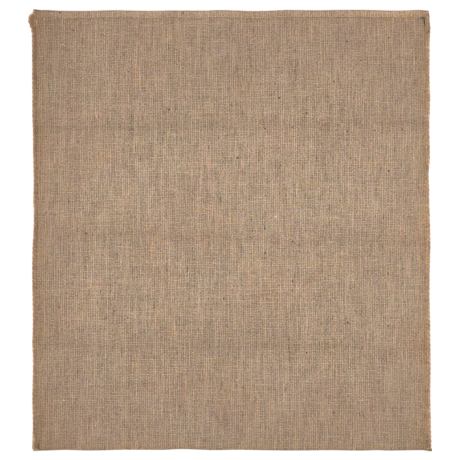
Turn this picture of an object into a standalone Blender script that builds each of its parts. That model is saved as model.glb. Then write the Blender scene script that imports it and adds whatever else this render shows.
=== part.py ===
"""A jute sack lying flat and empty on its back, with its mouth towards +Y.

One length of hessian is folded across its middle, which makes the bottom, and overcast down both sides. Its two
ends are turned over to the outside as a hem round the open mouth. The back panel lies flat on the ground. The
front panel stands off it as four low pillows, because the sack was folded in four to be packed: three creases
run across it, and a weak one runs up the middle of its lower half.

Sizes are in metres. +X is to the right, +Y towards the mouth and +Z up.
"""

from math import cos, exp, pi, sin

import bmesh
import bpy

MM = 0.001

# Driving dimensions of the sack as it lies.
WIDTH = 500 * MM  # over both side seams
HEIGHT = 554 * MM  # bottom fold to mouth
CLOTH = 1.2 * MM  # one layer of hessian
HEM_DEPTH = 9 * MM  # height of the hem round the mouth
HEM_THICK = 3.0 * MM  # cloth and its two turned layers, pressed by the stitches
HEM_STEP = 1.5 * MM  # length over which the cloth thickens into the hem
SEAM_WIDTH = 5.8 * MM  # overcast ridge down each side
SEAM_THICK = 4.4 * MM
SEAM_THICK_AT_HEM = 6.8 * MM
GROOVE_AT = 7.0 * MM  # line where the panels leave the seam, measured in from the side
INSIDE_AT = 7.6 * MM  # side limit of the hollow, measured in from the side
INSIDE_FOOT = 3.0 * MM  # bottom limit of the hollow
CORNER_GAP = 0.8 * MM  # height of the hollow along the seams and the fold
FOLD_RADIUS = 1.7 * MM

# Loft of the front panel: height of the hollow's ceiling over the ground.
CEILING_AT_CREASE = 7.9 * MM
CEILING_AT_MOUTH = 8.7 * MM
PILLOW_RISE = (2.3 * MM, 2.6 * MM, 2.5 * MM, 1.9 * MM)  # crown over crease, bottom pillow first
PILLOW_POWER = 0.72  # under 1: a full crown that drops quickly into each crease
SIDE_LOFT = 13 * MM  # distance in which the panel climbs away from a seam or from the fold

# Lines across the sack: nominal height over the bottom fold, and how far the line is off it at the left seam and
# at the right seam.
BOTTOM, CREASE_LOW, CREASE_MIDDLE, CREASE_HIGH, MOUTH = 0 * MM, 132.6 * MM, 269.3 * MM, 409.8 * MM, HEIGHT
LINES = (BOTTOM, CREASE_LOW, CREASE_MIDDLE, CREASE_HIGH, MOUTH)
CREASE_TILT = {
    CREASE_LOW: (1.8 * MM, -1.6 * MM),
    CREASE_MIDDLE: (3.0 * MM, -3.4 * MM),
    CREASE_HIGH: (-1.4 * MM, 1.6 * MM),
}

# The weak crease up the lower half of the front.
CENTRE_CREASE = {"across": -10 * MM, "half_width": 9 * MM, "top": 205 * MM, "depth": 0.9 * MM}

# Soft hollows of the front panel: across, height, half width, half height, depth.
DENTS = (
    (138 * MM, 492 * MM, 20 * MM, 52 * MM, 0.8 * MM),
    (-120 * MM, 226 * MM, 20 * MM, 42 * MM, 0.7 * MM),
    (-175 * MM, 470 * MM, 34 * MM, 30 * MM, 0.5 * MM),
    (60 * MM, 70 * MM, 40 * MM, 24 * MM, 0.5 * MM),
)

# Side edges: height over the bottom fold, and how far the edge stands out past the straight seam.
LEFT_EDGE = (
    (0 * MM, -0.4 * MM),
    (3 * MM, 0.7 * MM),
    (14 * MM, 0.4 * MM),
    (30 * MM, -0.2 * MM),
    (66 * MM, 0.5 * MM),
    (110 * MM, -0.3 * MM),
    (136 * MM, 0.4 * MM),
    (163 * MM, -0.1 * MM),
    (232 * MM, 0.8 * MM),
    (295 * MM, -1.5 * MM),
    (313 * MM, -0.7 * MM),
    (331 * MM, -1.2 * MM),
    (392 * MM, -0.3 * MM),
    (427 * MM, 0.5 * MM),
    (498 * MM, 0.9 * MM),
    (523 * MM, 1.1 * MM),
    (530 * MM, 2.0 * MM),
    (534 * MM, 3.8 * MM),
    (540 * MM, 5.9 * MM),
    (543 * MM, 5.9 * MM),
    (546 * MM, 4.6 * MM),
    (550 * MM, 0.6 * MM),
    (554 * MM, -0.4 * MM),
)
RIGHT_EDGE = (
    (0 * MM, 3.1 * MM),
    (3 * MM, 2.9 * MM),
    (7 * MM, 1.8 * MM),
    (30 * MM, 1.2 * MM),
    (75 * MM, 0.5 * MM),
    (109 * MM, 1.1 * MM),
    (155 * MM, 0.4 * MM),
    (207 * MM, -0.6 * MM),
    (268 * MM, 0.6 * MM),
    (330 * MM, -1.0 * MM),
    (348 * MM, -1.7 * MM),
    (366 * MM, 0.0 * MM),
    (409 * MM, -0.8 * MM),
    (444 * MM, 0.4 * MM),
    (471 * MM, -0.6 * MM),
    (513 * MM, -0.2 * MM),
    (535 * MM, 0.5 * MM),
    (547 * MM, -0.5 * MM),
    (554 * MM, -1.6 * MM),
)
EDGE_REACH = 22 * MM  # distance inwards over which an edge's wander fades out

# Mouth and bottom edges: across, and how far the edge is off its straight line, up being positive.
MOUTH_EDGE = (
    (-250 * MM, 1.9 * MM),
    (-238 * MM, 0.7 * MM),
    (-208 * MM, -0.5 * MM),
    (-184 * MM, -0.6 * MM),
    (-148 * MM, 0.3 * MM),
    (-102 * MM, -0.5 * MM),
    (-72 * MM, 0.0 * MM),
    (-33 * MM, -0.2 * MM),
    (-12 * MM, 0.5 * MM),
    (30 * MM, -0.8 * MM),
    (74 * MM, 0.6 * MM),
    (102 * MM, 0.3 * MM),
    (156 * MM, 0.8 * MM),
    (213 * MM, -0.1 * MM),
    (238 * MM, 0.8 * MM),
    (250 * MM, 0.0 * MM),
)
BOTTOM_EDGE = (
    (-250 * MM, -1.0 * MM),
    (-240 * MM, -0.6 * MM),
    (-208 * MM, 0.4 * MM),
    (-178 * MM, -0.4 * MM),
    (-132 * MM, 0.6 * MM),
    (-88 * MM, 0.4 * MM),
    (-64 * MM, 1.4 * MM),
    (-19 * MM, 0.1 * MM),
    (3 * MM, 0.5 * MM),
    (78 * MM, -0.4 * MM),
    (124 * MM, 0.0 * MM),
    (162 * MM, -0.5 * MM),
    (184 * MM, 0.0 * MM),
    (200 * MM, -0.5 * MM),
    (238 * MM, 0.1 * MM),
    (250 * MM, -1.0 * MM),
)

# The seam's thickened end under the left of the hem: height over the bottom fold, half height, extra thickness.
SEAM_KNOT = {"height": 541 * MM, "half_height": 10 * MM, "thicker": 1.6 * MM}

# Section of a seam ridge: distance in from the side edge, and share of the ridge's thickness.
SEAM_SECTION = (
    (0.9 * MM, 0.0),
    (0.0 * MM, 0.28),
    (0.0 * MM, 0.62),
    (0.9 * MM, 0.88),
    (2.6 * MM, 1.0),
    (4.5 * MM, 0.94),
    (SEAM_WIDTH, 0.8),
)

# Where the mesh has its rows and columns.
PANEL_ROWS = (0, 0.03, 0.08, 0.18, 0.33, 0.5, 0.67, 0.82, 0.92, 0.97)
FOLD_ROWS = (0.5 * MM, 1.7 * MM, 3.0 * MM, 7 * MM, 14 * MM)
SEAM_KNOT_ROWS = (517 * MM, 523 * MM, 533.5 * MM, 538 * MM)
HEM_ROWS = (14 * MM, 11.2 * MM, 10 * MM, 8.5 * MM, 4.5 * MM, 1 * MM, 0 * MM)  # down from the mouth
COLUMNS_FROM_SIDE = tuple(s * MM for s in (10, 14, 20, 29, 42, 60, 84, 112, 142, 172, 202, 228))
COLUMNS_AT_CREASE = (-6 * MM, 0, 6 * MM)
COLUMNS_AT_BACK = tuple(x * MM for x in (-238, -208, -178, -140, -100, -64, -19, 30, 78, 124, 162, 200, 238))


def eased(table, at):
    """The second column of a table at a place in the first, going smoothly from row to row."""
    if at <= table[0][0]:
        return table[0][1]
    for (start, before), (end, after) in zip(table, table[1:]):
        if at <= end:
            return before + (after - before) * (1 - cos(pi * (at - start) / (end - start))) / 2
    return table[-1][1]


def step_up(at, start, length):
    """0 before start, 1 from start + length, and smooth between."""
    t = min(1, max(0, (at - start) / length))
    return t * t * (3 - 2 * t)


def line_shift(line, across):
    """How far one of the lines across the sack is off its nominal height."""
    if line == BOTTOM:
        return eased(BOTTOM_EDGE, across)
    if line == MOUTH:
        return eased(MOUTH_EDGE, across)
    left, right = CREASE_TILT[line]
    return left + (right - left) * (across / WIDTH + 0.5)


def panel_of(height):
    """The pillow that a nominal height is on, and how far up it that is, from 0 to 1."""
    for i, (low, high) in enumerate(zip(LINES, LINES[1:])):
        if height <= high:
            return i, (height - low) / (high - low)
    return len(LINES) - 2, 1.0


def placed(across, height):
    """The plan position of a point of the sack, with the wander of the edges and creases."""
    i, share = panel_of(height)
    low, high = line_shift(LINES[i], across), line_shift(LINES[i + 1], across)
    fade_left = max(0, 1 - (WIDTH / 2 + across) / EDGE_REACH)
    fade_right = max(0, 1 - (WIDTH / 2 - across) / EDGE_REACH)
    x = across - fade_left * eased(LEFT_EDGE, height) + fade_right * eased(RIGHT_EDGE, height)
    return x, height + low + (high - low) * share


def hem_share(height):
    """0 on a single layer of cloth and 1 on the hem."""
    return step_up(height, HEIGHT - HEM_DEPTH - HEM_STEP, HEM_STEP)


def floor_of(height):
    """Top of the back panel inside the sack: its hem is turned outwards, so it lifts the cloth over itself."""
    return CLOTH + (HEM_THICK - CLOTH) * hem_share(height)


def loft(across, height):
    """Height of the hollow's ceiling over the ground, far from any seam."""
    i, share = panel_of(height)
    low = CEILING_AT_CREASE
    high = CEILING_AT_MOUTH if LINES[i + 1] == MOUTH else CEILING_AT_CREASE
    top = low + (high - low) * share + PILLOW_RISE[i] * max(0, sin(pi * share)) ** PILLOW_POWER
    off = (across - CENTRE_CREASE["across"]) / CENTRE_CREASE["half_width"]
    fade = 1 - step_up(height, CENTRE_CREASE["top"] - 60 * MM, 60 * MM)
    top -= CENTRE_CREASE["depth"] * fade * exp(-abs(off) ** 1.5) * sin(pi * share)
    for dent_across, dent_height, half_width, half_height, depth in DENTS:
        reach = ((across - dent_across) / half_width) ** 2 + ((height - dent_height) / half_height) ** 2
        top -= depth * exp(-reach)
    swell = sin(across / (61 * MM) + 1.3) * sin(height / (43 * MM) + 0.4)
    return top + 0.3 * MM * swell * sin(pi * share)


def ceiling_of(across, height):
    """Underside of the front panel, which comes down to the floor at the side seams and at the bottom fold."""
    from_side = WIDTH / 2 - abs(across) - INSIDE_AT
    low = floor_of(height) + CORNER_GAP
    side = 1 - exp(-max(0, from_side) / SIDE_LOFT)
    foot = 1 - exp(-max(0, height - INSIDE_FOOT) / SIDE_LOFT)
    return low + (loft(across, height) - low) * side * foot


def top_of(across, height):
    """Outer surface of the front panel and of its hem."""
    return ceiling_of(across, height) + CLOTH + (HEM_THICK - CLOTH) * hem_share(height)


def seam_thickness(side, height):
    """Thickness of a side seam, which takes in the hems at the mouth."""
    thick = SEAM_THICK + (SEAM_THICK_AT_HEM - SEAM_THICK) * hem_share(height)
    if side < 0:
        off = (height - SEAM_KNOT["height"]) / SEAM_KNOT["half_height"]
        thick += SEAM_KNOT["thicker"] * exp(-off * off)
    return thick


def row_heights():
    rows = set(FOLD_ROWS) | set(SEAM_KNOT_ROWS)
    for low, high in zip(LINES, LINES[1:]):
        rows |= {low + (high - low) * share for share in PANEL_ROWS}
    below_hem = HEIGHT - max(HEM_ROWS)
    rows = {row for row in rows if row < below_hem - 2 * MM}
    return sorted(rows | {HEIGHT - down for down in HEM_ROWS})


def column_places():
    half = WIDTH / 2
    sides = [s for step in COLUMNS_FROM_SIDE for s in (step - half, half - step)]
    return sorted(sides + [CENTRE_CREASE["across"] + step for step in COLUMNS_AT_CREASE])


def outer_ring(height):
    """(across, z) round the outside of the sack at one height: left seam, front, right seam, then back panel."""
    half = WIDTH / 2
    left = [(inwards - half, share * seam_thickness(-1, height)) for inwards, share in SEAM_SECTION]
    right = [(half - inwards, share * seam_thickness(1, height)) for inwards, share in SEAM_SECTION]
    front = [(x, top_of(x, height)) for x in (GROOVE_AT - half, *column_places(), half - GROOVE_AT)]
    back = [(x, 0.0) for x in COLUMNS_AT_BACK[::-1]]
    return left + front + right[::-1] + back


def inner_ring(height):
    """(across, z) round the hollow at one height, from the left of its floor over the ceiling and back."""
    limit = WIDTH / 2 - INSIDE_AT
    floor = floor_of(height)
    ceiling = [(x, ceiling_of(x, height)) for x in (-limit, *column_places(), limit)]
    back = [(x, floor) for x in COLUMNS_AT_BACK[::-1]]
    return [(-limit, floor), *ceiling, (limit, floor), *back]


def fold_squash(height):
    """Share of its full thickness that the bottom fold has this far from the edge of its round nose."""
    left = max(0, 1 - height / FOLD_RADIUS)
    return max(0.35, (1 - left * left) ** 0.5)


def add_ring(mesh, ring, height, middle=0.0, squash=1.0):
    """One ring of vertices across the sack, its thickness squashed towards the height called middle."""
    verts = []
    for across, z in ring:
        x, y = placed(across, height)
        verts.append(mesh.verts.new((x, y, middle + (z - middle) * squash)))
    return verts


def skin(mesh, rings):
    """The wall through rings that hold the same number of vertices."""
    for lower, upper in zip(rings, rings[1:]):
        for i, vert in enumerate(lower):
            mesh.faces.new((lower[i - 1], vert, upper[i], upper[i - 1]))


def close_fold(mesh, ring):
    """Small triangles that close a ring at the bottom, between its front and its back panel."""
    right_foot = len(ring) - len(COLUMNS_AT_BACK) - 1
    front = ring[1:right_foot]
    back = [ring[0], *ring[:right_foot:-1], ring[right_foot]]
    i = j = 0
    while i + j < len(front) + len(back) - 2:
        at_end = j == len(back) - 1
        if at_end or (i < len(front) - 1 and front[i + 1].co.x <= back[j + 1].co.x):
            mesh.faces.new((front[i], front[i + 1], back[j]))
            i += 1
        else:
            mesh.faces.new((front[i], back[j + 1], back[j]))
            j += 1


def lip(mesh, outer, inner):
    """The cut edge of one layer of cloth, between as many vertices of the outside and of the hollow."""
    for i in range(1, len(outer)):
        mesh.faces.new((outer[i - 1], outer[i], inner[i], inner[i - 1]))


def close_mouth(mesh, outer, inner):
    """The cut edge of the cloth round the mouth, between the outside and the hollow."""
    seam, back = len(SEAM_SECTION), len(COLUMNS_AT_BACK)
    right_foot, right_floor = len(outer) - back - 1, len(inner) - back - 1
    lip(mesh, outer[seam : right_foot - seam + 1], inner[1:right_floor])
    lip(mesh, [*outer[right_foot:], outer[0]], [*inner[right_floor:], inner[0]])
    mesh.faces.new((*outer[: seam + 1], inner[1], inner[0]))
    mesh.faces.new((inner[right_floor], inner[right_floor - 1], *outer[right_foot - seam : right_foot + 1]))


def centre_over_origin(mesh):
    """Moves the whole sack until its box is centred over the origin."""
    for axis in (0, 1):
        places = [vert.co[axis] for vert in mesh.verts]
        middle = (min(places) + max(places)) / 2
        for vert in mesh.verts:
            vert.co[axis] -= middle


def sack_mesh():
    mesh = bmesh.new()
    rows = row_heights()
    nose_middle = (2 * CLOTH + CORNER_GAP) / 2
    outside = [add_ring(mesh, outer_ring(row), row, nose_middle, fold_squash(row)) for row in rows]
    inside = [add_ring(mesh, inner_ring(row), row) for row in rows if row >= INSIDE_FOOT]
    skin(mesh, outside)
    skin(mesh, inside)
    close_fold(mesh, outside[0])
    close_fold(mesh, inside[0])
    close_mouth(mesh, outside[-1], inside[-1])
    centre_over_origin(mesh)
    bmesh.ops.recalc_face_normals(mesh, faces=mesh.faces)
    made = bpy.data.meshes.new("sack_cloth")
    mesh.to_mesh(made)
    mesh.free()
    return made


def linear(channel):
    """A colour channel from 0 to 255, as displays use it, turned to linear light."""
    share = channel / 255
    return share / 12.92 if share <= 0.04045 else ((share + 0.055) / 1.055) ** 2.4


def jute_hessian():
    """Undyed jute in plain weave: a dry, dull brown."""
    material = bpy.data.materials.new("jute_hessian")
    material.use_nodes = True
    shader = material.node_tree.nodes["Principled BSDF"]
    shader.inputs["Base Color"].default_value = (linear(170), linear(145), linear(122), 1)
    shader.inputs["Roughness"].default_value = 0.92
    shader.inputs["Metallic"].default_value = 0
    return material


def clear_scene():
    for thing in list(bpy.data.objects):
        bpy.data.objects.remove(thing, do_unlink=True)


def main():
    clear_scene()
    made = sack_mesh()
    made.materials.append(jute_hessian())
    made.shade_smooth()
    made.set_sharp_from_angle(angle=pi / 4)
    sack = bpy.data.objects.new("sack_cloth", made)
    bpy.context.scene.collection.objects.link(sack)


main()
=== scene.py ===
"""The cloth and the sewing of an empty jute sack that lies on its back, with its mouth towards +Y.

One length of hessian goes from the hem on the front, down the front panel, round the bottom fold, up the
back panel and into the hem on the back. Its sides are overcast with jute twine, and each hem is held by a
row of stitches. Sizes are in metres. "Across" runs from side to side and "height" from the bottom fold to
the mouth.
"""
from functools import partial
from math import pi

import bmesh
import bpy
import numpy as np
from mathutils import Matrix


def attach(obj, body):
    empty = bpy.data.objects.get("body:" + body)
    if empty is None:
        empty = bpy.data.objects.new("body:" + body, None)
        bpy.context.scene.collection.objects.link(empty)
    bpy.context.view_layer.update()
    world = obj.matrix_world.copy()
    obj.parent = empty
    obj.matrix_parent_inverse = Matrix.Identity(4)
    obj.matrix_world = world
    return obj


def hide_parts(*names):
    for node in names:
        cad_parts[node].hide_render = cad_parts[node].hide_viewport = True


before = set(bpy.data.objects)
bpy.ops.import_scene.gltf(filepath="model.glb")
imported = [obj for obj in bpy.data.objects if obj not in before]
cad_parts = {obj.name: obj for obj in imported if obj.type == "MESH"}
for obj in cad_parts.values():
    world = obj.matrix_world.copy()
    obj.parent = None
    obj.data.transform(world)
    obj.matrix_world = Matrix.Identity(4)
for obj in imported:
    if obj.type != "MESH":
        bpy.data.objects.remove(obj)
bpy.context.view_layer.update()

MM = 0.001

# ---- The sack as it lies: the same sizes as its solid ----------------------------------------------------
WIDTH = 500 * MM
HEIGHT = 554 * MM
CENTRE = (-1.4 * MM, 277.45 * MM)  # middle of the sack's box, across and in height
CLOTH = 1.2 * MM  # one layer of the solid
HEM_DEPTH = 9 * MM
HEM_THICK = 3.0 * MM
HEM_STEP = 1.5 * MM  # length over which the cloth thickens into the hem
INSIDE_AT = 7.6 * MM  # side limit of the hollow, in from the side
INSIDE_FOOT = 3.0 * MM  # bottom limit of the hollow
CORNER_GAP = 0.8 * MM  # height of the hollow along the seams and the fold
CEILING_AT_CREASE = 7.9 * MM  # height of the hollow's ceiling over the ground
CEILING_AT_MOUTH = 8.7 * MM
PILLOW_RISE = (2.3 * MM, 2.6 * MM, 2.5 * MM, 1.9 * MM)  # crown over crease, bottom pillow first
PILLOW_POWER = 0.72  # under 1: a full crown that drops quickly into each crease
SIDE_LOFT = 13 * MM  # distance in which the panel climbs away from a seam or from the fold
# A broad swell of the front panel, whose waves are 2 pi times as long as these.
SWELL = {"height": 0.3 * MM, "across": 61 * MM, "up": 43 * MM}

# Lines across the sack, from the bottom fold over the creases to the mouth, and how far each is off its
# height at the left seam and at the right seam.
LINES = (0 * MM, 132.6 * MM, 269.3 * MM, 409.8 * MM, HEIGHT)
CREASE_TILT = ((0, 0), (1.8 * MM, -1.6 * MM), (3.0 * MM, -3.4 * MM), (-1.4 * MM, 1.6 * MM), (0, 0))

# The weak crease up the lower half of the front, which fades out below its top.
CENTRE_CREASE = {"across": -10 * MM, "half_width": 9 * MM, "top": 205 * MM, "depth": 0.9 * MM}
CENTRE_CREASE_POWER = 1.5
CENTRE_CREASE_FADE = 60 * MM

# Soft hollows of the front panel: across, height, half width, half height, depth.
DENTS = (
    (138 * MM, 492 * MM, 20 * MM, 52 * MM, 0.8 * MM),
    (-120 * MM, 226 * MM, 20 * MM, 42 * MM, 0.7 * MM),
    (-175 * MM, 470 * MM, 34 * MM, 30 * MM, 0.5 * MM),
    (60 * MM, 70 * MM, 40 * MM, 24 * MM, 0.5 * MM),
)

# How far each edge stands off its straight line, in millimetres against millimetres along it.
LEFT_EDGE = (
    (0, -0.4), (3, 0.7), (14, 0.4), (30, -0.2), (66, 0.5), (110, -0.3), (136, 0.4), (163, -0.1), (232, 0.8),
    (295, -1.5), (313, -0.7), (331, -1.2), (392, -0.3), (427, 0.5), (498, 0.9), (523, 1.1), (530, 2.0),
    (534, 3.8), (540, 5.9), (543, 5.9), (546, 4.6), (550, 0.6), (554, -0.4),
)
RIGHT_EDGE = (
    (0, 3.1), (3, 2.9), (7, 1.8), (30, 1.2), (75, 0.5), (109, 1.1), (155, 0.4), (207, -0.6), (268, 0.6),
    (330, -1.0), (348, -1.7), (366, 0.0), (409, -0.8), (444, 0.4), (471, -0.6), (513, -0.2), (535, 0.7),
    (547, 0.7), (554, -0.4),
)
MOUTH_EDGE = (
    (-250, 1.2), (-238, 0.0), (-208, -1.2), (-184, -1.3), (-148, -0.4), (-102, -1.2), (-72, -0.7),
    (-33, -0.9), (-12, -0.2), (30, -1.5), (74, -0.1), (102, -0.4), (156, 0.1), (213, -0.8), (238, 0.1),
    (250, -0.7),
)
BOTTOM_EDGE = (
    (-250, -0.6), (-240, -0.2), (-208, 0.8), (-178, 0.0), (-132, 1.0), (-88, 0.8), (-64, 1.8), (-19, 0.5),
    (3, 0.9), (78, 0.0), (124, 0.4), (162, -0.1), (184, 0.4), (200, -0.1), (238, 0.5), (250, -0.6),
)
EDGE_REACH = 22 * MM  # distance inwards over which an edge's wander fades out

# ---- The cloth as it is folded and sewn ------------------------------------------------------------------
WARP_PITCH = 2.33 * MM  # spacing of the threads that run from hem to hem
WEFT_PITCH = 2.07 * MM
SHEET = 0.95 * MM  # one layer of hessian, without the fuzz that its solid takes in
LAYER = 1.0 * MM  # from the middle of one layer of the hem to the middle of the next
FOLD_DEPTH = 8.1 * MM  # from the mouth to the foot of the folded cloth
TUCK = 7.1 * MM  # cloth turned in under the hem
NEAR_HEM = 14 * MM  # down to here from the mouth, the rows of the cloth are close together
NOSE = 1.0 * MM  # radius of the bottom fold at the middle of the cloth
CRUMPLE = 0.26 * MM  # height of the soft crumples of the front panel
SEAM_WIDTH = 5.8 * MM
SEAM_EDGE = 3.2 * MM  # distance over which the panels come together into the seam
SEAM_PITCH = 5.86 * MM  # from one overcast stitch to the next
SEAM_LIFT = 1.2 * MM  # twine under the seam
SEAM_RISE = 1.95 * MM  # how much higher the middle of the seam stands in the hem
TWINE_RISE = 1.9 * MM  # and the middle of its twine
SEAM_DENT = 0.12 * MM  # how deep each overcast stitch draws the seam in
SELVEDGE_AT = 1.1 * MM  # edge of the cloth, inside the overcast twine
ROPE_AT = 1.15 * MM  # middle of the twine along a seam's edge, in from the side
ROPE_WOBBLE = 19 * MM  # length over which that twine strays
LOOSE_FIBRES = 34  # on the front panel


def eased(table, at):
    """The second column of a millimetre table, in metres, at places in its first, smooth between rows."""
    places, values = np.array(table, float).T * MM
    row = np.clip(np.searchsorted(places, at) - 1, 0, len(places) - 2)
    share = np.clip((at - places[row]) / (places[row + 1] - places[row]), 0, 1)
    return values[row] + (values[row + 1] - values[row]) * (1 - np.cos(pi * share)) / 2


def step_up(at, start, length):
    """0 before start, 1 from start + length, and smooth between."""
    share = np.clip((at - start) / length, 0, 1)
    return share * share * (3 - 2 * share)


def mark(off, half_width):
    """A soft mark: 1 where off is 0, a little over a third at its half width, and 0 well outside it."""
    return np.exp(-((off / half_width) ** 2))


def line_shift(line, across):
    """How far one of the lines across the sack is off its nominal height."""
    if line == 0:
        return eased(BOTTOM_EDGE, across)
    if line == len(LINES) - 1:
        return eased(MOUTH_EDGE, across)
    left, right = CREASE_TILT[line]
    return left + (right - left) * (across / WIDTH + 0.5)


def panel_of(height):
    """The pillow that a height is on, and how far up it that is, from 0 to 1."""
    lines = np.array(LINES)
    low = np.clip(np.searchsorted(lines, height) - 1, 0, len(lines) - 2)
    return low, np.clip((height - lines[low]) / (lines[low + 1] - lines[low]), 0, 1)


def placed(across, height):
    """The plan position of points of the sack, with the wander of the edges and creases."""
    panel, share = panel_of(height)
    shifts = np.stack([line_shift(line, across) for line in range(len(LINES))])
    points = np.arange(across.size)
    low, high = shifts[panel, points], shifts[panel + 1, points]
    fade_left = np.clip(1 - (WIDTH / 2 + across) / EDGE_REACH, 0, None)
    fade_right = np.clip(1 - (WIDTH / 2 - across) / EDGE_REACH, 0, None)
    x = across - fade_left * eased(LEFT_EDGE, height) + fade_right * eased(RIGHT_EDGE, height)
    return x - CENTRE[0], height + low + (high - low) * share - CENTRE[1]


def hem_share(height):
    """0 on a single layer of cloth and 1 on the hem."""
    return step_up(height, HEIGHT - HEM_DEPTH - HEM_STEP, HEM_STEP)


def loft(across, height):
    """Height of the hollow's ceiling over the ground, far from any seam."""
    panel, share = panel_of(height)
    ends = np.array([CEILING_AT_CREASE] * (len(LINES) - 1) + [CEILING_AT_MOUTH])
    crown = np.clip(np.sin(pi * share), 0, None)
    top = ends[panel] + (ends[panel + 1] - ends[panel]) * share
    top = top + np.array(PILLOW_RISE)[panel] * crown**PILLOW_POWER
    off = np.abs(across - CENTRE_CREASE["across"]) / CENTRE_CREASE["half_width"]
    fade = 1 - step_up(height, CENTRE_CREASE["top"] - CENTRE_CREASE_FADE, CENTRE_CREASE_FADE)
    top = top - CENTRE_CREASE["depth"] * fade * np.exp(-(off**CENTRE_CREASE_POWER)) * crown
    for dent_across, dent_height, half_width, half_height, depth in DENTS:
        top = top - depth * mark(across - dent_across, half_width) * mark(height - dent_height, half_height)
    swell = np.sin(across / SWELL["across"] + 1.3) * np.sin(height / SWELL["up"] + 0.4)
    return top + SWELL["height"] * swell * crown


def ripple(across, height, seed, longest, shortest, waves=26):
    """Soft unevenness of the cloth: a sum of waves in every direction, about 1 high."""
    draw = np.random.default_rng(seed)
    total = np.zeros(across.shape)
    for length in np.geomspace(longest, shortest, waves):
        turn, phase = draw.uniform(0, 2 * pi, 2)
        along = across * np.cos(turn) + height * np.sin(turn)
        total += np.sin(2 * pi * along / length + phase) * (length / longest) ** 0.6
    return total / waves**0.5


def front_and_back(across, height):
    """Heights over the ground of the middle of the front panel and of the back panel."""
    from_side = WIDTH / 2 - np.abs(across)
    hem = hem_share(height)
    floor = CLOTH + (HEM_THICK - CLOTH) * hem
    side = 1 - np.exp(-np.clip(from_side - INSIDE_AT, 0, None) / SIDE_LOFT)
    foot = 1 - np.exp(-np.clip(height - INSIDE_FOOT, 0, None) / SIDE_LOFT)
    low = floor + CORNER_GAP
    crumple = CRUMPLE * ripple(across, height, seed=5, longest=120 * MM, shortest=26 * MM)
    front = low + (loft(across, height) - low + crumple) * side * foot + CLOTH / 2
    back = floor - CLOTH / 2 + 0.2 * MM * hem
    # In the seam the layers are pressed together round a middle height, with the twine under them.
    seam = 1 - step_up(from_side, SEAM_WIDTH - 1.0 * MM, SEAM_EDGE)
    half = CLOTH / 2 - 0.1 * MM * hem
    middle = SEAM_LIFT + CLOTH + SEAM_RISE * hem
    stitch = SEAM_DENT * np.cos(2 * pi * height / SEAM_PITCH) * (1 - hem)
    front = front + (middle + half + stitch - front) * seam
    back = back + (middle - half + stitch - back) * seam
    return front, back


# ---- Wear of the cloth, and its painted light and shade --------------------------------------------------
# Tone is how pale the cloth is, and multiplies the colour of the yarn. Each mark makes it paler or darker by
# a share: some are the cloth's own patches, stains and paler hem, and most are painted light and shade. Half
# sizes are a mark's reach from its middle, and "in" is how far in it is from the side edge.
CLEAN_TONE = 1.057  # before any mark
PATCHES = {"paler": 0.038, "longest": 160 * MM, "shortest": 18 * MM}
# Painted light on the middle of the sack, and painted shade on its ends and sides.
PAINTED_LIGHT_MIDDLE = {"paler": 0.05, "across": 40 * MM, "half_width": 150 * MM, "height": 310 * MM, "half": 130 * MM}
PAINTED_SHADE_FOOT = {"darker": 0.12, "from": -40 * MM, "over": 240 * MM}
PAINTED_SHADE_TOP = {"darker": 0.17, "from": 330 * MM, "over": 240 * MM}
PAINTED_SHADE_SIDES = {"left": 0.12, "right": 0.018, "from": 5 * MM, "over": 85 * MM}
# Painted shade in the creases, and along the weak crease up the middle.
CREASE_SWAY = 1.4 * MM
CREASE_BAND = {"darker": 0.078, "sway": 0.03, "half": 11 * MM}
CREASE_LINE = {"darker": 0.045, "sway": 0.02, "half": 2.5 * MM, "below": 2 * MM}
CENTRE_LINE = {"darker": 0.06, "half": 8 * MM, "fades_from": 260 * MM, "over": 60 * MM}
NEAR_MOUTH = (HEIGHT - 34 * MM, 16 * MM)  # start and length of the seams' last stretch
# Painted shade in the grooves beside the seams, and a wider painted shade inside the right seam.
GROOVE = {"left": 0.04, "left_in": 4.2 * MM, "right": 0.09, "right_in": 6.3 * MM, "half": 1.7 * MM}
GROOVE_UP_LEFT = {"darker": 0.23, "from": 130 * MM, "over": 180 * MM, "less_near_mouth": 0.14}
SHADE_BY_SEAM = {"darker": 0.04, "more_above": 440 * MM, "over": 60 * MM, "in": 13 * MM, "half": 5 * MM}
# A painted highlight along the right seam's edge.
PAINTED_HIGHLIGHT_SEAM = {"paler": 0.15, "in": 2.4 * MM, "half": 1.7 * MM, "from": 2 * MM, "over": 30 * MM}
HEM_TONE = {"ends": 0.055, "middle": 0.105, "right": 0.10}
HEM_LEFT_END = (-244 * MM, 40 * MM)  # start and length of the changes along the hem
HEM_RIGHT_STRETCH = (130 * MM, 50 * MM)
HEM_RIGHT_END = (234 * MM, 8 * MM)
# Painted light on the cloth right under the hem's foot.
HEM_FOOT_PAINTED_LIGHT = {"paler": 0.09, "down": FOLD_DEPTH + 0.8 * MM, "half": 1.3 * MM}
# A slit painted dark as its shade, a stain, and painted shade in a groove at the left seam's end.
SLIT = {"darker": 0.85, "in": 7.9 * MM, "slant": 1.4 * MM, "half": 1 * MM, "top": 9 * MM, "length": 12 * MM}
STAIN = {"darker": 0.65, "in": 9.2 * MM, "half_in": 2.6 * MM, "down": 9.0 * MM, "half_down": 1.8 * MM}
SEAM_END = {"darker": 0.5, "in": 7.2 * MM, "half": 1.2 * MM, "fades_from": 6 * MM, "over": 8 * MM}
# Painted shade along the folds at the mouth and at the bottom, and in the bottom's corners.
DARK_MOUTH = {"darker": 0.22, "half": 1.1 * MM}
DARK_FOOT = {"darker": 0.2, "half": 1.6 * MM}
DARK_CORNERS = {"darker": 0.19, "up": 26 * MM, "in": 38 * MM}
CORNER_EAR = {"paler": 0.06, "half_width": 5 * MM, "height": 538 * MM, "half_height": 10 * MM}
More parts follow.
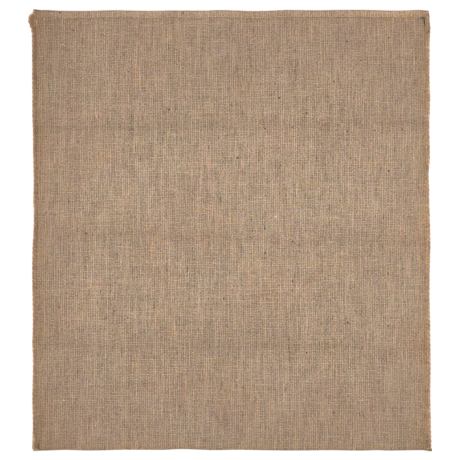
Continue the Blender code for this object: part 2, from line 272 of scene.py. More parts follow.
# Start and length of the changes of warmth: up from the bottom fold, in from a seam, up into the hem, and
# along the hem into its right end.
WARM_FOOT = (1 * MM, 12 * MM)
WARM_SEAM = (6 * MM, 20 * MM)
WARM_HEM = (HEIGHT - HEM_DEPTH - 6 * MM, 6 * MM)
WARM_HEM_END = (205 * MM, 15 * MM)
MOST_FUZZ = 0.21
CLEAR_OF_SIDE = (-30 * MM, 150 * MM)  # start and length of the change from fuzz to clear threads
CLEAR_OF_END = (-40 * MM, 200 * MM)
# The colour of clean cloth as a multiple of the yarn's, and what each cause adds to its red, green and blue.
CLEAN_COLOUR = (1.0, 0.992, 1.05)
WARM = (0.03, -0.02, -0.12)
DULL = (0.09, -0.06, -0.13)
PINK = (0.015, -0.011, -0.024)
YELLOW = (0.0, 0.003, -0.027)
# The bottom corners' painted shade also takes some blue out.
CORNER_SHADE_HUE = (0.0, 0.0, -0.12)


def panel_tone(across, height):
    """The panels' tone: patches, painted light in the middle, and painted shade at ends, sides and creases.
    """
    from_side = WIDTH / 2 - np.abs(across)
    patches = ripple(across, height, seed=8, longest=PATCHES["longest"], shortest=PATCHES["shortest"])
    tone = CLEAN_TONE + PATCHES["paler"] * patches
    # Painted light brightens the middle of the sack, and painted shade darkens its ends and sides.
    painted_light = mark(across - PAINTED_LIGHT_MIDDLE["across"], PAINTED_LIGHT_MIDDLE["half_width"])
    tone += PAINTED_LIGHT_MIDDLE["paler"] * painted_light * mark(height - PAINTED_LIGHT_MIDDLE["height"], PAINTED_LIGHT_MIDDLE["half"])
    tone -= PAINTED_SHADE_FOOT["darker"] * (1 - step_up(height, PAINTED_SHADE_FOOT["from"], PAINTED_SHADE_FOOT["over"]))
    tone -= PAINTED_SHADE_TOP["darker"] * step_up(height, PAINTED_SHADE_TOP["from"], PAINTED_SHADE_TOP["over"])
    sides = 1 - step_up(from_side, PAINTED_SHADE_SIDES["from"], PAINTED_SHADE_SIDES["over"])
    tone -= np.where(across < 0, PAINTED_SHADE_SIDES["left"], PAINTED_SHADE_SIDES["right"]) * sides
    # Each crease has a soft band of painted shade that sways, with a thinner line of it along its lower
    # side.
    for line, crease in enumerate(LINES[1:-1], 1):
        sway = ripple(across, 0 * across, 40 + line, longest=190 * MM, shortest=45 * MM)
        off = height - crease - line_shift(line, across) - CREASE_SWAY * sway
        tone -= (CREASE_BAND["darker"] + CREASE_BAND["sway"] * sway) * mark(off, CREASE_BAND["half"])
        thin = mark(off + CREASE_LINE["below"], CREASE_LINE["half"])
        tone -= (CREASE_LINE["darker"] + CREASE_LINE["sway"] * sway) * thin
    # Painted shade along the weak crease up the lower half of the front.
    centre = mark(across - CENTRE_CREASE["across"], CENTRE_LINE["half"])
    centre *= 1 - step_up(height, CENTRE_LINE["fades_from"], CENTRE_LINE["over"])
    return tone - CENTRE_LINE["darker"] * centre


def seam_tone(across, height):
    """What the seams add to the tone: painted shade in a groove beside each, and a painted highlight on the
    right one's edge.
    """
    from_side = WIDTH / 2 - np.abs(across)
    left, right = across < 0, across > 0
    # The corner of the mouth has no room for the groove.
    near_mouth = step_up(height, *NEAR_MOUTH)
    # The groove beside each seam is painted shade.
    groove = mark(from_side - np.where(left, GROOVE["left_in"], GROOVE["right_in"]), GROOVE["half"])
    higher_up = step_up(height, GROOVE_UP_LEFT["from"], GROOVE_UP_LEFT["over"])
    left_depth = GROOVE["left"] + GROOVE_UP_LEFT["darker"] * higher_up
    left_depth -= GROOVE_UP_LEFT["less_near_mouth"] * near_mouth
    tone = -np.where(left, left_depth, GROOVE["right"]) * groove
    # A second and wider painted shade lies inside the right seam.
    more = step_up(height, SHADE_BY_SEAM["more_above"], SHADE_BY_SEAM["over"])
    shade = mark(from_side - SHADE_BY_SEAM["in"], SHADE_BY_SEAM["half"])
    tone -= SHADE_BY_SEAM["darker"] * (1 + more) * shade * right
    # A painted highlight lies along the right seam's edge.
    painted_light = mark(from_side - PAINTED_HIGHLIGHT_SEAM["in"], PAINTED_HIGHLIGHT_SEAM["half"]) * right * (1 - near_mouth)
    return tone + PAINTED_HIGHLIGHT_SEAM["paler"] * painted_light * step_up(height, PAINTED_HIGHLIGHT_SEAM["from"], PAINTED_HIGHLIGHT_SEAM["over"])


def hem_tone(across, height, out):
    """What the hem adds to the tone: it is paler than the panel, and the cloth right under it has painted
    light.
    """
    # Only the hem's outer layer shows. It is palest between its ends, and more so towards the right.
    hem = (out > 1.2 * LAYER).astype(float)
    middle = step_up(across, *HEM_LEFT_END) - 0.9 * step_up(across, *HEM_RIGHT_END)
    tone = hem * (HEM_TONE["ends"] + HEM_TONE["middle"] * middle)
    tone += hem * HEM_TONE["right"] * step_up(across, *HEM_RIGHT_STRETCH)
    # Painted light on the cloth right under the hem's foot.
    under = mark(HEIGHT - height - HEM_FOOT_PAINTED_LIGHT["down"], HEM_FOOT_PAINTED_LIGHT["half"])
    return tone + HEM_FOOT_PAINTED_LIGHT["paler"] * under * (1 - hem)


def slit_and_stains(across, height, outwards):
    """What the small dark marks at the corners of the front take from the tone, mostly painted shade."""
    from_side, from_mouth = WIDTH / 2 - np.abs(across), HEIGHT - height
    front = (outwards > 0).astype(float)
    on_left, on_right = front * (across < 0), front * (across > 0)
    # A slit beside the right seam, just under the hem, painted dark as the shade inside it, and a stain over
    # it.
    along = np.clip((from_mouth - SLIT["top"]) / SLIT["length"], 0, 1)
    slit = mark(from_side - SLIT["in"] + SLIT["slant"] * along, SLIT["half"]) * np.sin(pi * along)
    stain = mark(from_side - STAIN["in"], STAIN["half_in"])
    stain *= mark(from_mouth - STAIN["down"], STAIN["half_down"])
    # Painted shade in a groove sets off the end of the left seam at the bottom.
    end = mark(from_side - SEAM_END["in"], SEAM_END["half"])
    end *= 1 - step_up(height, SEAM_END["fades_from"], SEAM_END["over"])
    return (SLIT["darker"] * slit + STAIN["darker"] * stain) * on_right + SEAM_END["darker"] * end * on_left


def marks_and_painted_light(across, height, out, outwards):
    """The colour that multiplies the yarn, and the share of fuzz that hides its threads."""
    from_side, from_mouth = WIDTH / 2 - np.abs(across), HEIGHT - height
    # The folds at the mouth and at the bottom, and the bottom's corners, are darkened with painted shade.
    mouth, foot = mark(from_mouth, DARK_MOUTH["half"]), mark(height, DARK_FOOT["half"])
    corner = mark(height, DARK_CORNERS["up"]) * np.exp(-from_side / DARK_CORNERS["in"])
    # The slack left corner of the mouth is rustier than the rest.
    ear = mark(across + WIDTH / 2, CORNER_EAR["half_width"])
    ear *= mark(height - CORNER_EAR["height"], CORNER_EAR["half_height"])
    tone = panel_tone(across, height) + seam_tone(across, height) + hem_tone(across, height, out)
    tone += CORNER_EAR["paler"] * ear
    tone -= DARK_MOUTH["darker"] * mouth + DARK_FOOT["darker"] * foot + DARK_CORNERS["darker"] * corner
    tone -= slit_and_stains(across, height, outwards)
    # The cloth is warmer in the seams, at the bottom fold and in the hem, most of all at its right end.
    at_hem = 0.5 + 0.25 * step_up(across, *HEM_RIGHT_STRETCH) + 0.8 * step_up(across, *WARM_HEM_END)
    warm = np.maximum.reduce([
        1 - step_up(from_side, *WARM_SEAM),
        at_hem * step_up(height, *WARM_HEM),
        0.7 - 0.7 * step_up(height, *WARM_FOOT),
    ])
    warm += 1.8 * ear + 1.5 * foot
    # Dull places are no greyer than the rest, and broad patches are a little pinker or yellower.
    dull = 1 - np.clip(tone, 0.7, 1.2)
    pink = ripple(across, height, seed=61, longest=170 * MM, shortest=16 * MM)
    yellow = ripple(across, height, seed=62, longest=110 * MM, shortest=16 * MM)
    causes = ((warm, WARM), (dull, DULL), (pink, PINK), (yellow, YELLOW), (corner, CORNER_SHADE_HUE))
    tint = np.array(CLEAN_COLOUR) + sum(np.outer(share, turn) for share, turn in causes)
    # The threads stand out less towards the sides and ends, where the cloth is fuzzier.
    inner = step_up(from_side, *CLEAR_OF_SIDE)
    inner *= step_up(from_mouth, *CLEAR_OF_END) * step_up(height, *CLEAR_OF_END)
    return np.column_stack([tint * tone[:, None], MOST_FUZZ * (1 - inner)])


# ---- The sheet of cloth ----------------------------------------------------------------------------------
def strip_rows():
    """The rows of the cloth, from the raw end inside the front hem to the raw end inside the back hem.

    Each row is a height, a share of the way from the back panel up to the front panel, and a distance
    outwards from the panel. The rows of the front come first.
    """
    foot = FOLD_DEPTH - LAYER / 2
    turn_in = [(down, LAYER) for down in np.linspace(FOLD_DEPTH - TUCK, foot, 5)]
    at_foot = [
        (foot + LAYER / 2 * np.sin(turn), 1.5 * LAYER - LAYER / 2 * np.cos(turn))
        for turn in np.linspace(0, pi, 5)[1:-1]
    ]
    outside = [(down, 2 * LAYER) for down in np.linspace(foot, LAYER, 7)]
    at_mouth = [
        (LAYER - LAYER * np.sin(turn), LAYER + LAYER * np.cos(turn))
        for turn in np.linspace(0, pi, 7)[1:-1]
    ]
    near = [(down, 0.0) for down in np.linspace(LAYER, NEAR_HEM, 12)]
    hem = [(HEIGHT - down, out) for down, out in turn_in + at_foot + outside + at_mouth + near]
    fold = NOSE + SHEET / 2
    plain = HEIGHT - NEAR_HEM - fold
    heights = np.linspace(fold + plain, fold, round(plain / (SEAM_PITCH / 2)) + 1)[1:]
    front = hem + [(height, 0.0) for height in heights]
    nose = [
        (fold - NOSE * np.sin(turn), (1 + np.cos(turn)) / 2, 0.0) for turn in np.linspace(0, pi, 7)[1:-1]
    ]
    rows = [(height, 1.0, out) for height, out in front]
    return rows + nose + [(height, 0.0, out) for height, out in front[::-1]]


def strip_columns():
    """Distances across at which the cloth has its columns: from the selvedges on, and close in the seams."""
    in_seam = np.array((1.7, 2.5, 3.4, 4.3, 5.1, 5.8, 6.4, 7.0, 7.8, 9, 11, 14, 18, 23, 29)) * MM
    side = np.concatenate([[SELVEDGE_AT], in_seam])
    inner = np.linspace(side[-1], WIDTH - side[-1], 65)[1:-1]
    return np.concatenate([side, inner, WIDTH - side[::-1]]) - WIDTH / 2


def hessian_sheet():
    """The whole length of hessian, folded as it lies, with a map of its threads in metres."""
    rows, columns = np.array(strip_rows()), strip_columns()
    across, height = (grid.ravel() for grid in np.meshgrid(columns, rows[:, 0]))
    share, out = np.repeat(rows[:, 1], len(columns)), np.repeat(rows[:, 2], len(columns))
    front, back = front_and_back(across, height)
    # Outwards is up on the front, which has the first half of the rows, and down on the back.
    outwards = np.where(np.arange(across.size) < across.size // 2, 1.0, -1.0)
    # The overcast stitches press the layers of the hem a little closer together.
    pressed = 1 - 0.08 * (1 - step_up(WIDTH / 2 - np.abs(across), SEAM_WIDTH, 3 * MM))
    z = back + (front - back) * share + outwards * out * pressed
    x, y = placed(across, height)
    # How far along the cloth each row is, measured down the sack's middle.
    middle = len(columns) // 2
    path = np.stack([height, z], 1).reshape(len(rows), len(columns), 2)[:, middle]
    along = np.concatenate([[0], np.cumsum(np.linalg.norm(np.diff(path, axis=0), axis=1))])

    mesh = bmesh.new()
    cloth = mesh.loops.layers.uv.new("cloth")
    tone = mesh.verts.layers.float_color.new("tone")
    shades = marks_and_painted_light(across, height, out, outwards)
    bmesh.ops.create_grid(mesh, x_segments=len(columns) - 1, y_segments=len(rows) - 1, size=0.5)
    # The vertices of the flat grid, row by row, each go to their place on the folded cloth.
    order = sorted(mesh.verts, key=lambda vert: (round(vert.co.y, 6), round(vert.co.x, 6)))
    thread = {}
    for place, vert in enumerate(order):
        row, column = divmod(place, len(columns))
        vert.co = (x[place], y[place], z[place])
        vert[tone] = shades[place]
        thread[vert] = (columns[column] + WIDTH / 2, along[row])
    for face in mesh.faces:
        face.smooth = True
        for loop in face.loops:
            loop[cloth].uv = thread[loop.vert]
    piece = to_object(mesh, "hessian_sheet")
    wall = piece.modifiers.new("cloth thickness", "SOLIDIFY")
    wall.thickness = SHEET
    wall.offset = 0
    return piece, along[-1]


def to_object(mesh, name):
    """A new object in the scene, with the faces of a bmesh, which is used up."""
    made = bpy.data.meshes.new(name)
    mesh.to_mesh(made)
    mesh.free()
    piece = bpy.data.objects.new(name, made)
    bpy.context.scene.collection.objects.link(piece)
    return piece


# ---- Sewing ----------------------------------------------------------------------------------------------
def twine(name, paths, radius):
    """Round twine along open paths, as one mesh. Each path comes with its own share of the radius."""
    curve = bpy.data.curves.new(name, "CURVE")
    curve.dimensions = "3D"
    curve.bevel_depth = 1.0
    curve.bevel_resolution = 1
    curve.use_fill_caps = True
    for path, thick in paths:
        spline = curve.splines.new("POLY")
        spline.points.add(len(path) - 1)
        for point, place in zip(spline.points, path):
            point.co = (*place, 1)
            point.radius = radius * thick
    drawn = bpy.data.objects.new(name, curve)
    bpy.context.scene.collection.objects.link(drawn)
    made = bpy.data.meshes.new_from_object(drawn.evaluated_get(bpy.context.evaluated_depsgraph_get()))
    bpy.data.objects.remove(drawn)
    bpy.data.curves.remove(curve)
    made.name = name
    made.shade_smooth()
    piece = bpy.data.objects.new(name, made)
    bpy.context.scene.collection.objects.link(piece)
    return piece


def edge_twine(side, seed, ply_radius):
    """The twine that the overcast stitches lay along one edge, as two plies that twist round each other."""
    draw = np.random.default_rng(seed)
    # On the right its ends are lost in the corners.
    bottom, below_mouth = (0.6 * MM, 5 * MM) if side < 0 else (6 * MM, 12 * MM)
    height = np.arange(bottom, HEIGHT - below_mouth, SEAM_PITCH / 7)
    knots = np.arange(0, HEIGHT + 30 * MM, ROPE_WOBBLE)
    wobble = np.interp(height, knots, draw.uniform(-1, 1, len(knots)))
    # The right one is drawn in at its upper end.
    drawn_in = 0.9 * MM * step_up(height, height[-1] - 9 * MM, 9 * MM) * (side > 0)
    across = side * (WIDTH / 2 - ROPE_AT - drawn_in - 0.12 * MM * wobble)
    middle = SEAM_LIFT + 1.6 * MM + TWINE_RISE * hem_share(height)
    turn = pi * height / SEAM_PITCH + 0.8 * wobble
    paths = []
    for ply in (0, pi):
        x, y = placed(across + 0.6 * MM * np.cos(turn + ply), height)
        z = middle + 0.62 * MM * np.sin(turn + ply)
        paths.append((np.stack([x, y, z], 1), 1.0))
    return twine(f"edge_twine_{'right' if side > 0 else 'left'}", paths, ply_radius)


def overcast(side, seed):
    """The overcast stitches down one side, which go over the seam, round its edge and back below it."""
    draw = np.random.default_rng(seed)
    # One stitch, in millimetres in from the side edge and over the seam's middle, and the share of the pitch
    # that it has climbed.
    inwards, lift, climb = np.array((
        (5.9, 0.6, 0.0), (5.6, 1.35, 0.02), (4.8, 1.62, 0.09), (3.6, 1.66, 0.2), (2.4, 1.6, 0.31),
        (1.5, 1.2, 0.39), (1.2, 0.0, 0.45), (1.5, -1.2, 0.52), (2.4, -1.6, 0.6), (3.6, -1.66, 0.72),
        (4.8, -1.62, 0.85), (5.6, -1.35, 0.95), (5.9, -0.6, 0.99),
    )).T
    paths = []
    for stitch in range(int((HEIGHT - 3 * MM) / SEAM_PITCH)):
        start = 2.2 * MM + stitch * SEAM_PITCH + draw.uniform(-0.5, 0.5) * MM
        reach = 1 + draw.uniform(-0.10, 0.06)
        height = np.clip(start + climb * SEAM_PITCH * 0.92, 1.2 * MM, HEIGHT - 1.0 * MM)
        # Stitches differ in how far in they bite, and not in where they go round the edge.
        across = side * (WIDTH / 2 - inwards * MM * np.where(inwards > 3, reach, 1))
        hem = hem_share(height)
        z = SEAM_LIFT + CLOTH + TWINE_RISE * hem + lift * MM * (1 + 1.25 * hem)
        x, y = placed(across, height)
        paths.append((np.stack([x, y, z], 1), draw.uniform(0.88, 1.12)))
    return twine(f"overcast_{'right' if side > 0 else 'left'}", paths, 0.42 * MM)


def slack_twine(name, lines, radius):
    """Loose ends of twine, along points given in millimetres: across, height and distance over the cloth."""
    paths = []
    for line in lines:
        # Five points are laid for each one given.
        at = np.linspace(0, len(line) - 1, 5 * len(line))
        columns = np.array(line).T * MM
        across, height, over = (np.interp(at, np.arange(len(line)), column) for column in columns)
        front, _ = front_and_back(across, height)
        x, y = placed(across, height)
        z = front + 2 * LAYER * hem_share(height) + SHEET / 2 + over
        paths.append((np.stack([x, y, z], 1), 1.0))
    return twine(name, paths, radius)


def corner_knot():
    """The end of the left seam's twine, which winds round the top corner and lies slack below it."""
    return slack_twine("corner_knot", (
        ((-249.6, 554.2, 0.1), (-248.6, 552.4, 0.4), (-247.0, 549.1, 0.5), (-244.2, 546.3, 0.4)),
        ((-243.1, 546.1, 0.4), (-242.7, 542.7, 0.5), (-243.7, 537.7, 0.4), (-245.6, 533.0, 0.3)),
        ((-241.9, 547.3, 0.4), (-240.9, 542.9, 0.5), (-242.3, 536.9, 0.4), (-243.6, 532.7, 0.3)),
        ((-248.3, 544.6, 0.4), (-248.4, 547.2, 0.4), (-248.1, 549.5, 0.5)),
    ), 0.6 * MM)


def loose_strands():
    """The end of the left seam's twine at the bottom fold: a long strand and a stub."""
    return slack_twine("loose_strands", (
        (
            (-249.0, 27.1, 0.1), (-248.3, 22.2, 0.4), (-248.0, 14.3, 0.5), (-248.2, 6.5, 0.4),
            (-247.8, 2.9, 0.0),
        ),
        (
            (-248.9, 3.1, -0.9), (-247.9, 1.4, -0.7), (-245.8, 0.7, -0.7), (-243.6, 1.2, -0.7),
            (-242.4, 2.8, -0.5),
        ),
    ), 0.9 * MM)


def old_tufts():
    """Dark ends of twine on the right: the pointed tuft of the bottom corner, and one near the mouth."""
    return slack_twine("old_tufts", (
        ((243.4, 0.5, -0.6), (246.1, 0.5, -0.9), (248.2, 0.4, -1.1), (249.6, 0.5, -1.4)),
        ((248.3, 7.6, -0.2), (248.3, 4.2, -0.7), (249.5, 0.8, -1.3)),
        ((246.3, 525.1, 0.4), (247.6, 527.2, 0.6), (249.0, 529.7, 0.2)),
    ), 0.75 * MM)


def loose_fibres():
    """Single pale fibres that have worked loose and curl on the front panel."""
    draw = np.random.default_rng(77)
    paths = []
    for _ in range(LOOSE_FIBRES):
        along = np.linspace(0, 1, 9)
        turn = draw.uniform(0, 2 * pi) + draw.uniform(-2.6, 2.6) * along
        step = draw.uniform(4, 10) * MM / 8
        across = draw.uniform(-225, 225) * MM + np.cumsum(np.cos(turn)) * step
        height = draw.uniform(20, 530) * MM + np.cumsum(np.sin(turn)) * step
        front, _ = front_and_back(across, height)
        x, y = placed(across, height)
        paths.append((np.stack([x, y, front + SHEET / 2 + 0.1 * MM], 1), draw.uniform(0.7, 1.3)))
    return twine("loose_fibres", paths, 0.24 * MM)


def lint():
    """Two bits of pale lint caught on the hem, near its ends."""
    return slack_twine("lint", (
        ((-226.3, 549.7, 0.1), (-225.4, 550.2, 0.2), (-224.6, 549.9, 0.1)),
        ((245.4, 551.3, 1.0), (246.4, 551.8, 1.1), (247.1, 551.4, 1.0)),
    ), 0.45 * MM)


def hem_stitches(name, outside):
    """A row of straight stitches that holds a hem down, seen as short dashes of twine in their dimples."""
    draw = np.random.default_rng(31 if outside > 0 else 32)
    pitch, length, from_end = 5.2 * MM, 3.4 * MM, 9 * MM
    paths = []
    for start in np.arange(from_end - WIDTH / 2, WIDTH / 2 - from_end, pitch):
        across = start + np.linspace(0, length, 5) + draw.uniform(-0.3, 0.3) * MM
        height = np.full(5, HEIGHT - FOLD_DEPTH + 2.2 * MM + draw.uniform(-0.15, 0.15) * MM)
        front, back = front_and_back(across, height)
        surface = front + 2 * LAYER + SHEET / 2 if outside > 0 else back - 2 * LAYER - SHEET / 2 + 0.45 * MM
        rise = np.array((-0.55, 0.0, 0.1, 0.0, -0.55)) * MM
        x, y = placed(across, height)
        paths.append((np.stack([x, y, surface + outside * rise], 1), draw.uniform(0.85, 1.15)))
    return twine(name, paths, 0.42 * MM)


# ---- Materials -------------------------------------------------------------------------------------------
def colour(code):
    """An sRGB hex value as linear light, with full opacity."""
    channels = [int(code[i : i + 2], 16) / 255 for i in (1, 3, 5)]
    return (*[c / 12.92 if c <= 0.04045 else ((c + 0.055) / 1.055) ** 2.4 for c in channels], 1)


def add(tree, kind, sockets=(), stops=(), **settings):
    """A shader node with its settings, its colour stops, and a value or a link in each socket that is given.

    A socket is given by its name, or by its place among the ones that the node shows.
    """
    node = tree.nodes.new("ShaderNode" + kind)
    for name, value in settings.items():
        setattr(node, name, value)
    for place, code in stops:
        node.color_ramp.elements.new(place).color = colour(code)
    if stops:
        node.color_ramp.elements.remove(node.color_ramp.elements[0])
        node.color_ramp.elements.remove(node.color_ramp.elements[-1])
    shown = [socket for socket in node.inputs if socket.enabled]
    given = sockets.items() if isinstance(sockets, dict) else enumerate(sockets)
    for name, value in given:
        socket = shown[name] if isinstance(name, int) else node.inputs[name]
        if isinstance(value, bpy.types.Node):
            value = next(output for output in value.outputs if output.enabled)
        if isinstance(value, bpy.types.NodeSocket):
            tree.links.new(value, socket)
        else:
            socket.default_value = value
    return node


def new_material(name, roughness):
    """A material, its node tree and its shader."""
    material = bpy.data.materials.new(name)
    material.use_nodes = True
    shader = material.node_tree.nodes["Principled BSDF"]
    shader.inputs["Roughness"].default_value = roughness
    return material, material.node_tree, shader


# In what follows a noise is given by its place, its scale and its detail, and a map range by its value, the
# range that this comes from and the range that it goes to.
STEP_ALONG = 0.034  # how far a thread's own noises go on from one crossing to the next
STEP_ACROSS = 7.31  # and from one thread to the next, which is far enough for no two to be alike
CRIMP = 0.16  # how much higher a thread stands where it goes over than midway
FIBRES_PER_METRE = 600  # tufts of fibres, about 1.7 mm
PATCHES_PER_METRE = 210  # soft patches of colour, about 5 mm
RUST_PER_METRE = 15  # places about 65 mm apart, where the rusty stretches gather
BITS_PER_METRE = 58  # room for one bit of bark or pale fibre every 17 mm
TWINE_SHADES_PER_METRE = 120.0  # shades along the twine, about 8 mm
TWINE_HAIRS_PER_METRE = 900.0  # hairs of the twine, about 1 mm


def jute_hessian():
    """Undyed jute sacking in plain weave: dry, matt, uneven threads with dark gaps between them."""
    material, tree, shader = new_material("jute_hessian", 0.9)
    put = partial(add, tree)
    cloth = put("UVMap", uv_map="cloth")
    across, along = put("SeparateXYZ", (cloth,)).outputs[:2]

    def threads(at, pitch, crossed_at, crossed_pitch, drift, stray, seed):
        """One set of threads: the number of each, its body, and ways along it and along the nearest gap.

        A way is a place in a noise that is the thread's or the gap's own, and goes on along it.
        """
        # The spacing drifts over the whole cloth, and each thread strays a little from its neighbours. Both
        # amounts are in threads.
        place = put("Math", (at, 1 / pitch, 100.0), operation="MULTIPLY_ADD")
        for stretch, amount in ((drift, 2.2), (stray, 1.3)):
            stretched = put("VectorMath", (cloth, stretch, (seed, seed, seed)), operation="MULTIPLY_ADD")
            wander = put("TexNoise", (stretched, 1.0, 1.0))
            place = put("Math", (wander, amount, place), operation="MULTIPLY_ADD")
        number = put("Math", (place,), operation="FLOOR")
        gap = put("Math", (put("Math", (place, 0.5), operation="ADD"),), operation="FLOOR")
        crossings = put("Math", (crossed_at, STEP_ALONG / crossed_pitch), operation="MULTIPLY")
        follow, beside = (
            put("CombineXYZ", (put("Math", (count, STEP_ACROSS), operation="MULTIPLY"), crossings, seed))
            for count in (number, gap)
        )
        # A thread thickens and thins along its length. Half its thickness is a share of the spacing.
        thickness = put("TexNoise", (follow, 2.8, 2.0))
        half = put("MapRange", (thickness, 0.27, 0.73, 0.36, 0.63), interpolation_type="SMOOTHSTEP")
        off = put("Math", (put("Math", (place,), operation="FRACT"), 0.5), operation="SUBTRACT")
        aside = put("Math", (off,), operation="ABSOLUTE")
        round_body = put("MapRange", (aside, 0.0, half, 1.0, 0.0), interpolation_type="SMOOTHSTEP")
        # Where a thread is thick it stands over the threads that cross it.
        body = put("Math", (thickness, 0.6, round_body), operation="MULTIPLY_ADD")
        return number, body, follow, beside

    warp_number, warp_body, warp_follow, warp_beside = threads(
        across, WARP_PITCH, along, WEFT_PITCH, drift=(9, 1.5, 1), stray=(170, 26, 1), seed=3.7
    )
    weft_number, weft_body, weft_follow, _ = threads(
        along, WEFT_PITCH, across, WARP_PITCH, drift=(2.5, 9, 1), stray=(44, 190, 1), seed=11.9
    )

    # Each warp thread goes over a weft thread and under the next. The warp is tighter, so it stands higher.
    turns = put("Math", (put("Math", (warp_number, weft_number), operation="ADD"), pi), operation="MULTIPLY")
    over = put("Math", (turns,), operation="COSINE")
    warp_top = put("Math", (over, CRIMP, warp_body), operation="MULTIPLY_ADD")
    weft_under = put("Math", (weft_body, 0.9, -0.16), operation="MULTIPLY_ADD")
    weft_top = put("Math", (over, -CRIMP, weft_under), operation="MULTIPLY_ADD")
    warp_shows = put("Math", (warp_top, weft_top), operation="GREATER_THAN")
    top = put("Math", (warp_top, weft_top), operation="MAXIMUM")

    gathered = put("TexNoise", (cloth, RUST_PER_METRE, 1.0))

    def thread_colour(follow, dark, light):
        """Each thread's own tan, which changes slowly along it, with a rusty stretch here and there."""
        shades = [(0.25, dark), (0.5, "#A88D72"), (0.76, light)]
        hues = [(0.30, "#A0946F"), (0.5, "#A58878"), (0.70, "#C08A62")]
        shade = put("ValToRGB", (put("TexNoise", (follow, 0.83, 1.5)),), shades)
        hue = put("ValToRGB", (put("TexNoise", (follow, 1.37, 1.5)),), hues)
        tan = put("Mix", (0.22, shade, hue), data_type="RGBA")
        stretch = put("TexNoise", (follow, 1.9, 1.0))
        where = put("Math", (gathered, 0.35, stretch), operation="MULTIPLY_ADD")
        rust = put("MapRange", (where, 0.775, 0.855, 0.0, 0.64), interpolation_type="SMOOTHSTEP")
        return put("Mix", (rust, tan, colour("#D09A6C")), data_type="RGBA")

    weft_colour = thread_colour(weft_follow, "#7E634D", "#BBA185")
    warp_colour = thread_colour(warp_follow, "#785F4A", "#BFA587")
    yarn = put("Mix", (warp_shows, weft_colour, warp_colour), data_type="RGBA")

    # Each crossing is more or less fibrous, and single fibres show finer than the threads.
    cross = put("CombineXYZ", (warp_number, weft_number))
    crossing = put("TexWhiteNoise", (cross,), noise_dimensions="2D")
    fibres = put("MapRange", (put("TexNoise", (cloth, FIBRES_PER_METRE, 1.0)), 0.33, 0.57, 0.0, 1.0))
    for share, tuft in ((0.25, crossing), (0.42, fibres)):
        fibrous = put("Mix", (tuft, colour("#583C26"), colour("#BEA68C")), data_type="RGBA")
        yarn = put("Mix", (share, yarn, fibrous), data_type="RGBA")

    # Painted shade darkens the cloth deep between the threads, and here and there two warp threads leave a
    # slit open, painted dark as the shade inside it.
    deep = put("MapRange", (top, 0.35, 1.24, 0.675, 0.0), interpolation_type="SMOOTHSTEP")
    yarn = put("Mix", (deep, yarn, colour("#38230F")), data_type="RGBA")
    parted = put("MapRange", (warp_body, 0.5, 0.95, 1.0, 0.0))
    slack = put("MapRange", (put("TexNoise", (warp_beside, 7.0, 1.0)), 0.30, 0.41, 0.50, 0.0))
    slit = put("Math", (parted, slack), operation="MULTIPLY")
    yarn = put("Mix", (slit, yarn, colour("#35200F")), data_type="RGBA")

    # Each thread is a little paler or darker than the next, all along.
    lone = [
        put("TexWhiteNoise", {"W": number}, noise_dimensions="1D") for number in (weft_number, warp_number)
    ]
    paler = put("Math", (put("Mix", (warp_shows, *lone)), 0.10, 0.946), operation="MULTIPLY_ADD")
    yarn = put("Mix", (1.0, yarn, paler), data_type="RGBA", blend_type="MULTIPLY")

    # Soft patches are pinker, greener or yellower, and longer up the warp than across it.
    drawn_out = put("VectorMath", (cloth, (1.0, 0.7, 1.0)), operation="MULTIPLY")
    patch = put("SeparateColor", (put("TexNoise", (drawn_out, PATCHES_PER_METRE, 3.0)).outputs["Color"],))
    tints = ((1.015, 0.968, 1.03, 1), (0.95, 1.024, 0.965, 1), (1.01, 1.01, 0.865, 1))
    for channel, tint in zip(patch.outputs, tints):
        share = put("MapRange", (channel, 0.45, 0.62, 0.0, 1.0), interpolation_type="SMOOTHSTEP")
        yarn = put("Mix", (share, yarn, tint), data_type="RGBA", blend_type="MULTIPLY")

    # Bits of dark bark and a few pale fibres were spun in.
    bits = put("TexVoronoi", (cloth, BITS_PER_METRE), voronoi_dimensions="2D")
    dark_pick, pale_pick, size = put("SeparateColor", (bits.outputs["Color"],)).outputs
    reach = put("Math", (size, 0.05, 0.055), operation="MULTIPLY_ADD")
    near = put("MapRange", (bits, 0.035, reach, 1.0, 0.0), interpolation_type="SMOOTHSTEP")
    kinds = ((dark_pick, 0.945, 1.0, "#3E200D"), (pale_pick, 0.992, 0.45, "#E6DCCB"))
    for pick, rare, strength, tint in kinds:
        picked = put("Math", (pick, rare), operation="GREATER_THAN")
        there = put("Math", (near, picked), operation="MULTIPLY")
        share = put("Math", (there, strength), operation="MULTIPLY")
        yarn = put("Mix", (share, yarn, colour(tint)), data_type="RGBA")

    # Fuzz hides the threads, and the tone, with its painted light and shade, makes them paler or darker.
    tone_with_painted_light = put("Attribute", attribute_name="tone")
    yarn = put("Mix", (tone_with_painted_light.outputs["Alpha"], yarn, colour("#977C63")), data_type="RGBA")
    yarn = put("Mix", (1.0, yarn, tone_with_painted_light.outputs["Color"]), data_type="RGBA", blend_type="MULTIPLY")
    tree.links.new(yarn.outputs[2], shader.inputs["Base Color"])
    relief = put("Bump", {"Height": top, "Distance": 0.3 * MM})
    tree.links.new(relief.outputs[0], shader.inputs["Normal"])
    shader.inputs["Sheen Weight"].default_value = 0.1
    shader.inputs["Sheen Roughness"].default_value = 0.6
    return material


def jute_twine(name, dark, light):
    """Jute twine: uneven tan between a dark and a light shade, and hairy."""
    material, tree, shader = new_material(name, 0.85)
    put = partial(add, tree)
    place = put("TexCoord").outputs["Object"]
    shade = put("TexNoise", (place, TWINE_SHADES_PER_METRE, 3.0))
    yarn = put("ValToRGB", (shade,), [(0.30, dark), (0.72, light)])
    tree.links.new(yarn.outputs[0], shader.inputs["Base Color"])
    hairs = put("TexNoise", (place, TWINE_HAIRS_PER_METRE, 2.0))
    relief = put("Bump", {"Height": hairs, "Distance": 0.3 * MM, "Strength": 0.8})
    tree.links.new(relief.outputs[0], shader.inputs["Normal"])
    return material


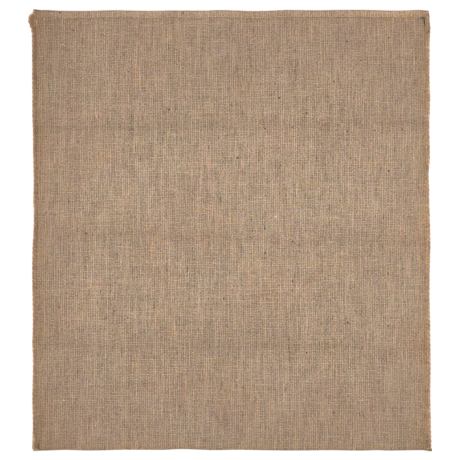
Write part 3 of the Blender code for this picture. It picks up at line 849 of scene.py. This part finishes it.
# ---- Floor, light and camera -----------------------------------------------------------------------------
def studio():
    """A wide pale floor, soft light from all round with a little more from above, and the camera."""
    mesh = bmesh.new()
    bmesh.ops.create_grid(mesh, x_segments=1, y_segments=1, size=4.0)
    floor = to_object(mesh, "floor")
    material, tree, shader = new_material("studio_floor", 0.95)
    shade = add(tree, "TexNoise", (add(tree, "TexCoord").outputs["Object"], 3.0))
    tone = add(tree, "Mix", (shade, colour("#FAFAFA"), colour("#FDFDFD")), data_type="RGBA")
    tree.links.new(tone.outputs[2], shader.inputs["Base Color"])
    floor.data.materials.append(material)

    scene = bpy.context.scene
    scene.view_settings.view_transform = "Standard"
    world = bpy.data.worlds.new("studio")
    world.use_nodes = True
    world.node_tree.nodes["Background"].inputs["Color"].default_value = (1, 1, 1, 1)
    world.node_tree.nodes["Background"].inputs["Strength"].default_value = 1.08
    scene.world = world
    light = bpy.data.lights.new("key", "AREA")
    light.size = 1.0
    light.energy = 10.0
    lamp = bpy.data.objects.new("key", light)
    lamp.location = (0.1, 0.4, 1.6)
    lamp.rotation_euler = (-lamp.location).to_track_quat("-Z", "Y").to_euler()
    scene.collection.objects.link(lamp)

    # The camera looks straight down from so high up that it sees the sack almost without perspective.
    view = bpy.data.cameras.new("overhead")
    view.sensor_width = 36.0
    view.lens = 434.8
    camera = bpy.data.objects.new("overhead", view)
    camera.location = (-0.0002, 0.0002, 7.0)
    scene.collection.objects.link(camera)
    scene.camera = camera


def main():
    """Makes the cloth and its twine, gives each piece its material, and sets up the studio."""
    sheet, length = hessian_sheet()
    sheet.data.materials.append(jute_hessian())
    # The left edge's twine is a darker, more orange copy painted as in shade, and the right seam's is a
    # paler copy painted as lit. The other stitches are as dull as the cloth, old ends are dark, and loose
    # fibres are pale.
    twine_pieces = {
        jute_twine("jute_sewing_twine", "#7C6650", "#A88D72"): [
            overcast(-1, 11), hem_stitches("hem_stitches_front", 1), hem_stitches("hem_stitches_back", -1)
        ],
        jute_twine("jute_edge_twine", "#8A603C", "#C89A72"): [edge_twine(-1, 21, 0.68 * MM)],
        jute_twine("jute_edge_twine_painted_lit", "#8E6C4C", "#CAA27E"): [
            edge_twine(1, 22, 0.85 * MM), overcast(1, 12)
        ],
        jute_twine("jute_twine_old", "#5E4629", "#8E6C44"): [old_tufts()],
        jute_twine("jute_fibre_loose", "#BFA486", "#DCC8AA"): [loose_fibres(), lint()],
        jute_twine("jute_loose_strand", "#7E6240", "#BC9A6C"): [corner_knot(), loose_strands()],
    }
    seams = []
    for material, pieces in twine_pieces.items():
        for piece in pieces:
            piece.data.materials.append(material)
            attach(piece, "root")
        seams += pieces
    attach(sheet, "root")
    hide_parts("sack_cloth")
    studio()


main()
